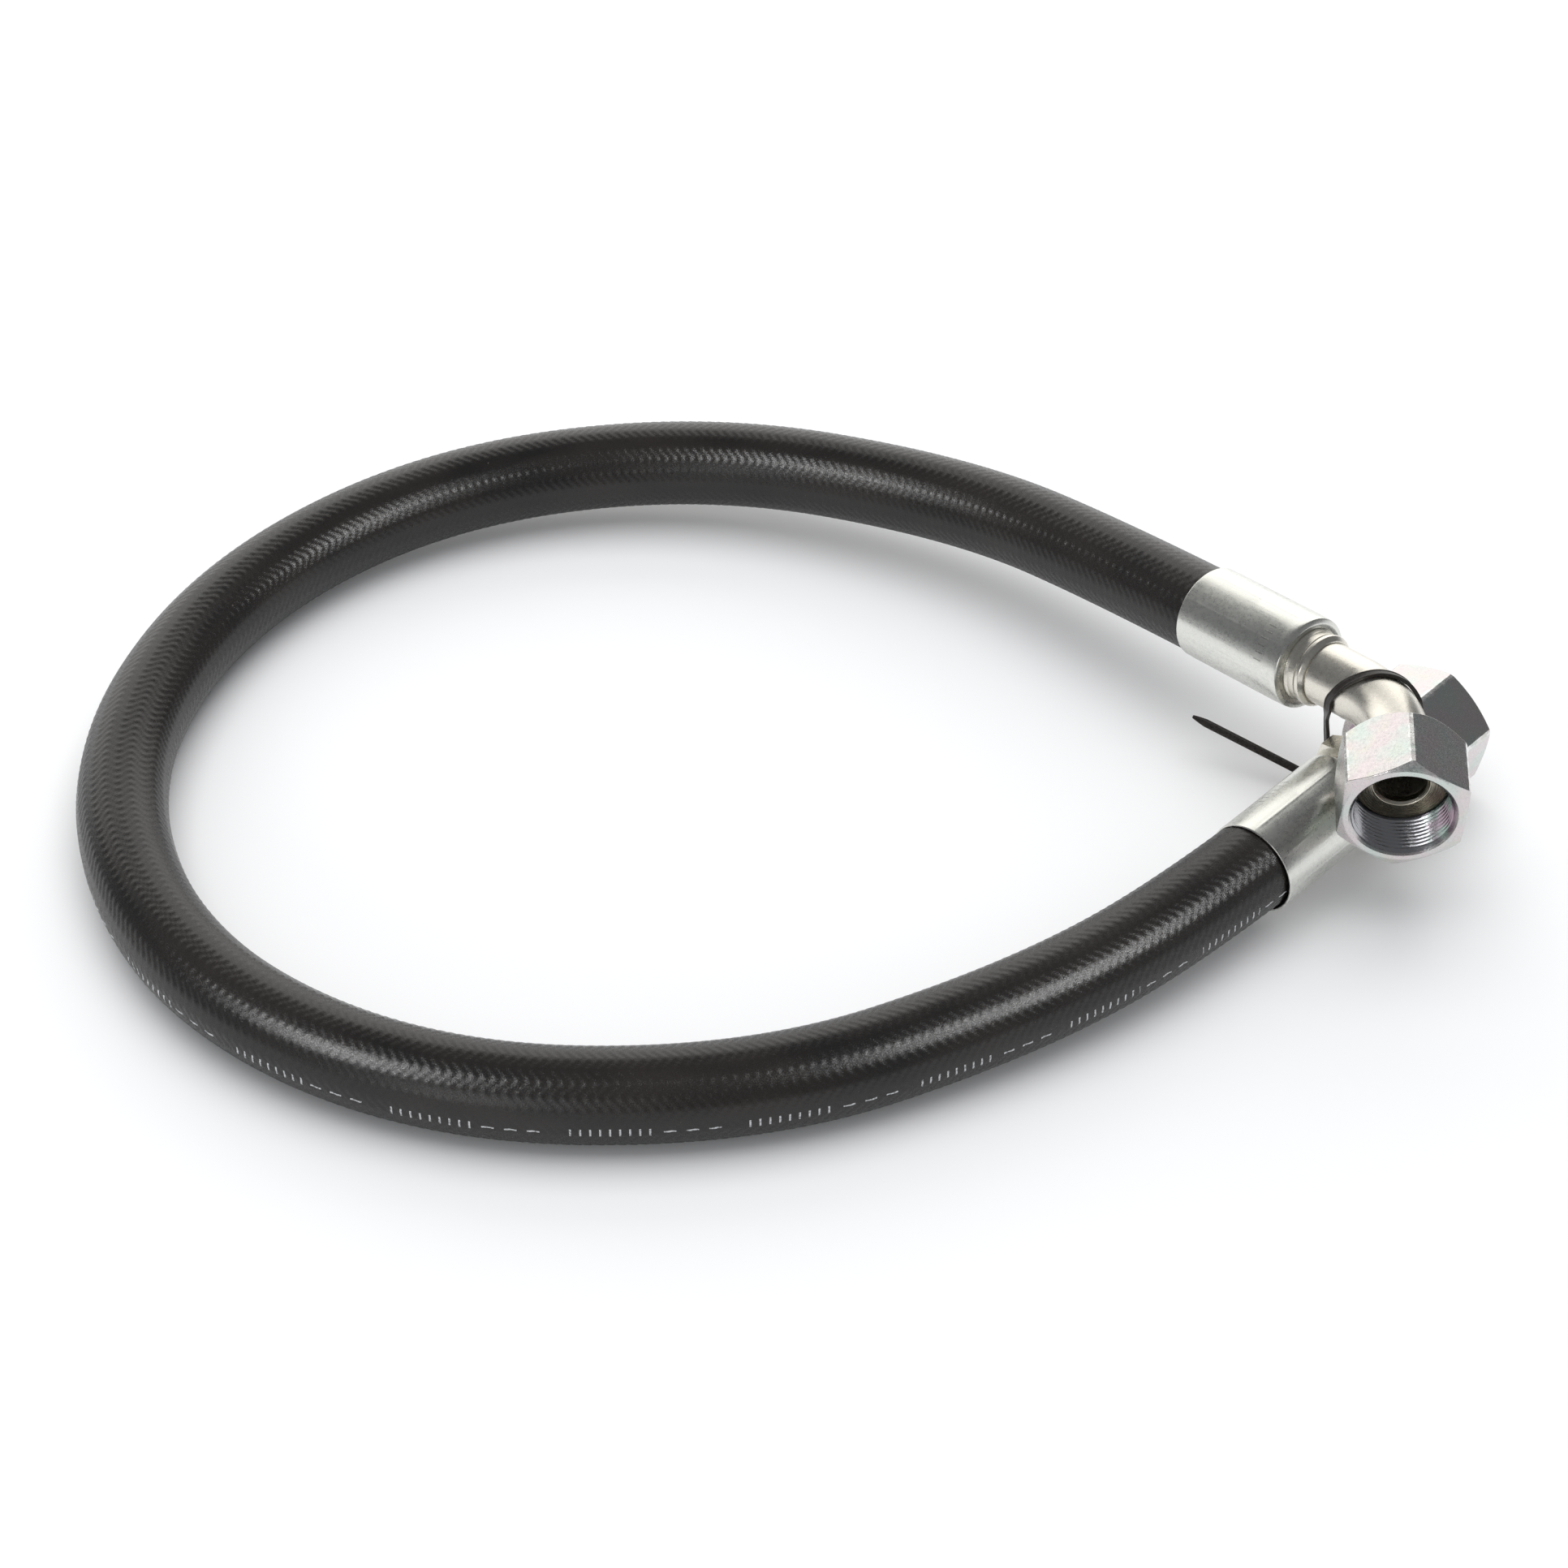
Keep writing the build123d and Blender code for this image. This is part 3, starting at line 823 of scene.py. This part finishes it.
# ------------------------------------------------------------ sealing sleeves
def sleeve(name, place, node):
    face = -FACE_DEPTH
    profile = [(8.3, face), (13.35, face), (FLANGE_R, face - 0.35), (FLANGE_R, face - FLANGE_LEN)]
    profile += [(HUB_R, face - FLANGE_LEN), (HUB_R, -24.6), (11.3, -HUB_END), (TUBE_R, -HUB_END)]
    profile += [(TUBE_R, -TUBE_SEAT), (FLOW_R, -TUBE_SEAT), (FLOW_R, face - 0.8)]
    piece = lathe(name, divided(rounded(profile, 0.12), 1.5), place, TURNED, "hose", segments=144)
    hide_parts(node)


sleeve("sleeve_straight", STRAIGHT_SWIVEL, "straight_sleeve")
sleeve("sleeve_elbow", ELBOW_SWIVEL, "elbow_sleeve")


# ------------------------------------------------------------ bent tube of the elbow
def bend_station(swing):
    """Point and axis of the elbow's centre line after a swing round its bend."""
    place = BEND_PIVOT - BEND_INWARD * (BEND_R * cos(swing)) + LEG_AXIS * (BEND_R * sin(swing))
    return place, LEG_AXIS * cos(swing) + BEND_INWARD * sin(swing)


def elbow_line():
    """(place, axis) along the bent tube's centre line, in millimetres, and the length before its bend."""
    line = []
    back = TUBE_BACK - BEND_TANGENT
    steps = int(back / TUBE_STEP)
    for k in range(steps):
        line.append((BEND_START - LEG_AXIS * (back * (1 - k / steps)), LEG_AXIS))
    steps = int(BEND_R * BEND / TUBE_STEP)
    for k in range(steps + 1):
        swing = BEND * k / steps
        line.append(bend_station(swing))
    front = TUBE_FRONT - BEND_TANGENT
    steps = int(front / TUBE_STEP)
    corner_end = ELBOW_CORNER + SPOUT_AXIS * BEND_TANGENT
    for k in range(1, steps + 1):
        line.append((corner_end + SPOUT_AXIS * (front * k / steps), SPOUT_AXIS))
    return line, back


def bent_tube():
    line, back = elbow_line()
    arc = BEND_R * BEND
    around = 120
    outer = []
    inner = []
    outer_local = []
    inner_local = []
    run = 0.0
    for k, (place, axis) in enumerate(line):
        if k:
            run += (place - line[k - 1][0]).length
        side = axis.cross(BEND_AXIS)
        first_crease = max(0.0, 1 - abs(run - back) / 1.3)
        crease = 0.16 * (first_crease + max(0.0, 1 - abs(run - back - arc) / 1.3))
        bent = max(0.0, min(1.0, (run - back) / 6, (back + arc - run) / 6))
        for j in range(around):
            angle = 2 * pi * j / around
            radius = TUBE_R - 0.22 * bent * cos(angle) ** 2 + crease * max(0.0, -cos(angle))
            direction = side * cos(angle) + BEND_AXIS * sin(angle)
            outer.append((place + direction * radius) * MM)
            inner.append((place + direction * FLOW_R) * MM)
            outer_local.append((radius * cos(angle), radius * sin(angle), run))
            inner_local.append((FLOW_R * cos(angle), FLOW_R * sin(angle), run))
    verts = outer + inner
    rings = len(line)
    skin = len(outer)
    faces = []
    for ring in range(rings - 1):
        low = ring * around
        for j in range(around):
            side = (j + 1) % around
            face = (low + j, low + side, low + around + side, low + around + j)
            faces.append(face)
            faces.append(tuple(skin + corner for corner in face[::-1]))
    last = (rings - 1) * around
    for j in range(around):
        side = (j + 1) % around
        faces.append((skin + j, skin + side, side, j))
        faces.append((last + j, last + side, skin + last + side, skin + last + j))
    local = outer_local + inner_local
    piece = finish_mesh("bent_tube", verts, faces, local, STEM_ZINC, "hose", sharp=50.0)
    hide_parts("elbow_tube")


bent_tube()


# ------------------------------------------------------------ cable tie
def elbow_station(distance, angle, radius):
    """Point and outward direction round the elbow, distance from where the bend starts."""
    if distance <= 0:
        centre = BEND_START + LEG_AXIS * distance
        axis = LEG_AXIS
    else:
        centre, axis = bend_station(min(distance / BEND_R, BEND))
    up = up_from(axis)
    outward = up * cos(radians(angle)) + axis.cross(up) * sin(radians(angle))
    return centre + outward * radius, outward


def neck_station(distance, angle, radius):
    """Point and outward direction round the straight stem's neck."""
    up = up_from(STRAIGHT_AXIS)
    outward = up * cos(radians(angle)) + STRAIGHT_AXIS.cross(up) * sin(radians(angle))
    return STRAIGHT_MOUTH + STRAIGHT_AXIS * distance + outward * radius, outward


def band_stations():
    over = TUBE_R + TIE_GAP + TIE_THICK / 2
    side = Vector((-1, -0.15, 0)).normalized()
    turning = Vector((-0.95, -0.28, 0.1)).normalized()
    right = Vector((0.97, -0.24, 0)).normalized()
    return [
        (Vector((167.8, -4.0, 5.8)), side),
        (Vector((167.2, -4.0, 9.5)), side),
        (Vector((166.4, -3.9, 14.0)), turning),
        (Vector((165.6, -4.0, 20.0)), turning),
        (Vector((164.5, -5.0, 28.5)), turning),
        (Vector((163.5, -7.6, 36.0)), side),
        elbow_station(-2.8, 108, over + 0.2),
        elbow_station(-1.9, 88, over),
        elbow_station(-0.2, 71, over),
        elbow_station(2.1, 54, over),
        elbow_station(4.4, 38, over),
        elbow_station(6.8, 18, over),
        elbow_station(8.7, -3, over),
        elbow_station(10.6, -25, over),
        elbow_station(12.2, -47, over),
        elbow_station(13.6, -69, over),
        elbow_station(14.7, -90, over + 0.2),
        (Vector((189.53, -16.91, 39.0)), right),
        (Vector((189.03, -17.81, 31.0)), right),
        neck_station(61.6, -90, over + 0.3),
        neck_station(61.2, -112, over + 0.1),
        neck_station(61.0, -134, over),
        neck_station(60.6, -156, over),
        neck_station(60.2, -178, over),
        neck_station(59.4, -200, over + 0.4),
        (Vector((168.5, -4.3, 5.4)), Vector((0, 0, -1))),
    ]


def smooth_stations(stations, parts):
    """More stations between the given ones, on a curve through them."""
    result = []
    last = len(stations) - 1
    for k in range(last):
        places = [stations[min(max(k + j, 0), last)][0] for j in (-1, 0, 1, 2)]
        for step in range(parts):
            t = step / parts
            a, b, c, d = places
            squared = (2 * a - 5 * b + 4 * c - d) * t * t
            cubed = (3 * b - a - 3 * c + d) * t ** 3
            place = 0.5 * ((2 * b) + (c - a) * t + squared + cubed)
            outward = stations[k][1].lerp(stations[k + 1][1], t)
            result.append((place, outward))
    result.append(stations[last])
    return result


def strip(stations, section):
    """Closed strip through stations; section gives (outward, across) corners by station and run."""
    verts = []
    local = []
    last = len(stations) - 1
    run = 0.0
    around = len(section(0, 0.0))
    for k, (place, outward) in enumerate(stations):
        if k:
            run += (place - stations[k - 1][0]).length
        travel = (stations[min(k + 1, last)][0] - stations[max(k - 1, 0)][0]).normalized()
        thick = (outward - travel * outward.dot(travel)).normalized()
        wide = travel.cross(thick)
        for out, across in section(k, run):
            verts.append((place + thick * out + wide * across) * MM)
            local.append((out, across, run))
    faces = []
    for ring in range(last):
        for j in range(around):
            side = (j + 1) % around
            low = ring * around
            faces.append((low + j, low + side, low + around + side, low + around + j))
    faces.append(tuple(range(around))[::-1])
    faces.append(tuple(last * around + j for j in range(around)))
    return verts, faces, local


def band_section():
    """Oblong with rounded corners and a shallow channel outside, as (outward, across) corners."""
    out = TIE_THICK / 2
    across = TIE_WIDTH / 2
    rim = across - TIE_RIM
    sunk = out - TIE_CHANNEL
    corners = [(-out, -across), (out, -across), (out, -rim), (sunk, -rim + 0.15)]
    corners += [(sunk, rim - 0.15), (out, rim), (out, across), (-out, across)]
    return rounded(corners, 0.2)


def tie_band():
    stations = smooth_stations(band_stations(), 5)
    plain = band_section()
    verts, faces, local = strip(stations, lambda k, run: plain)
    piece = finish_mesh("tie_band", verts, faces, local, NYLON, "hose", sharp=50.0)
    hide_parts("cable_tie")


TIE_HEAD = Vector((167.9, -3.9, 5.3))
TIE_HEADING = Vector((-0.883, 0.365, 0.293)).normalized()
TIE_FACING = Vector((-0.083, -0.734, 0.673)).normalized()


def tail_stations():
    """Free end of the band, bowing a little out of its broad face."""
    bow = [(1.0, 0.0), (8.0, 0.3), (16.0, 0.5), (24.0, 0.6), (32.0, 0.5), (40.0, 0.2), (47.3, 0.0)]
    places = [TIE_HEAD + TIE_HEADING * out + TIE_FACING * rise for out, rise in bow]
    return smooth_stations([(place, TIE_FACING) for place in places], 24)


def tie_tail():
    stations = tail_stations()
    last = len(stations) - 1
    full = band_section()

    def section(k, run):
        taper = min(1.0, 0.35 + (last - k) / last * 6.0)
        tooth = 0.3 * ((run / 0.9) % 1.0) if 7.0 < run < 24.0 else 0.0
        corners = []
        for out, across in full:
            toothed = out > 0 and abs(across) < 1.05
            corners.append((out - tooth if toothed else out, across * taper))
        return corners

    verts, faces, local = strip(stations, section)
    piece = finish_mesh("tie_tail", verts, faces, local, NYLON, "hose", sharp=40.0)


def tie_head():
    mesh = bmesh.new()
    bmesh.ops.create_cube(mesh, size=1.0)
    for vert in mesh.verts:
        vert.co = Vector((vert.co.x * 5.2, vert.co.y * 4.6, vert.co.z * 4.0))
    bmesh.ops.bevel(mesh, geom=list(mesh.edges), offset=0.5, segments=3, affect="EDGES")
    across = TIE_FACING.cross(TIE_HEADING)
    places = [TIE_HEAD + TIE_HEADING * v.co.x + across * v.co.y + TIE_FACING * v.co.z for v in mesh.verts]
    mesh.verts.index_update()
    faces = [tuple(v.index for v in face.verts) for face in mesh.faces]
    local = [v.co.copy() for v in mesh.verts]
    mesh.free()
    verts = [p * MM for p in places]
    piece = finish_mesh("tie_head", verts, faces, local, NYLON, "hose", sharp=50.0)


tie_band()
tie_tail()
tie_head()


# ------------------------------------------------------------ floor and light
def floor():
    mesh = bpy.data.meshes.new("floor")
    half = 6.0
    corners = [(-half, -half, 0), (half, -half, 0), (half, half, 0), (-half, half, 0)]
    mesh.from_pydata(corners, [], [(0, 1, 2, 3)])
    paper = bpy.data.materials.new("paper")
    paper.use_nodes = True
    shader = paper.node_tree.nodes["Principled BSDF"]
    shader.inputs["Base Color"].default_value = (0.88, 0.88, 0.88, 1.0)
    shader.inputs["Roughness"].default_value = 0.9
    mesh.materials.append(paper)
    piece = bpy.data.objects.new("floor", mesh)
    scene.collection.objects.link(piece)


def softbox(name, place, aim, width, height, power, tint=(1.0, 1.0, 1.0), mirrored=True):
    """Rectangular lamp; one that isn't mirrored lights surfaces without showing in the metal."""
    light = bpy.data.lights.new(name, "AREA")
    light.shape = "RECTANGLE"
    light.size = width
    light.size_y = height
    light.energy = power
    light.color = tint
    holder = bpy.data.objects.new(name, light)
    holder.location = place
    holder.rotation_euler = (Vector(aim) - Vector(place)).to_track_quat("-Z", "Y").to_euler()
    holder.visible_glossy = mirrored
    scene.collection.objects.link(holder)
    return holder


def surround():
    """Even pale ambient light that the metal mirrors only faintly."""
    world = bpy.data.worlds.new("studio")
    world.use_nodes = True
    tree = world.node_tree
    background = tree.nodes["Background"]
    background.inputs["Color"].default_value = (0.95, 0.97, 1.0, 1.0)
    path = tree.nodes.new("ShaderNodeLightPath")
    level = tree.nodes.new("ShaderNodeMapRange")
    level.inputs["To Min"].default_value = 0.55
    level.inputs["To Max"].default_value = 0.17
    tree.links.new(path.outputs["Is Glossy Ray"], level.inputs["Value"])
    tree.links.new(level.outputs["Result"], background.inputs["Strength"])
    scene.world = world


def studio():
    surround()
    scene.view_settings.view_transform = "Standard"
    warm = (1.0, 0.985, 0.95)
    softbox("back_wall", (-0.55, 1.6, 0.85), (-0.55, 0.0, 0.85), 3.3, 1.7, 25.0, warm)
    softbox("overhead", (0.0, 0.1, 2.2), (0.0, 0.0, 0.0), 2.4, 2.4, 34.0, mirrored=False)
    softbox("front", (-0.7, -1.5, 0.5), (0.0, 0.0, 0.0), 0.8, 0.3, 4.0)
    rubber_only = bpy.data.collections.new("rubber_only")
    rubber_only.objects.link(cover)
    for side, place in (("left", (-1.04, -0.65, 1.17)), ("right", (1.1, -0.55, 1.17))):
        edge_light = softbox(side + "_side", place, (0.0, 0.0, 0.0), 0.32, 0.32, 16.0)
        edge_light.light_linking.receiver_collection = rubber_only


floor()
studio()
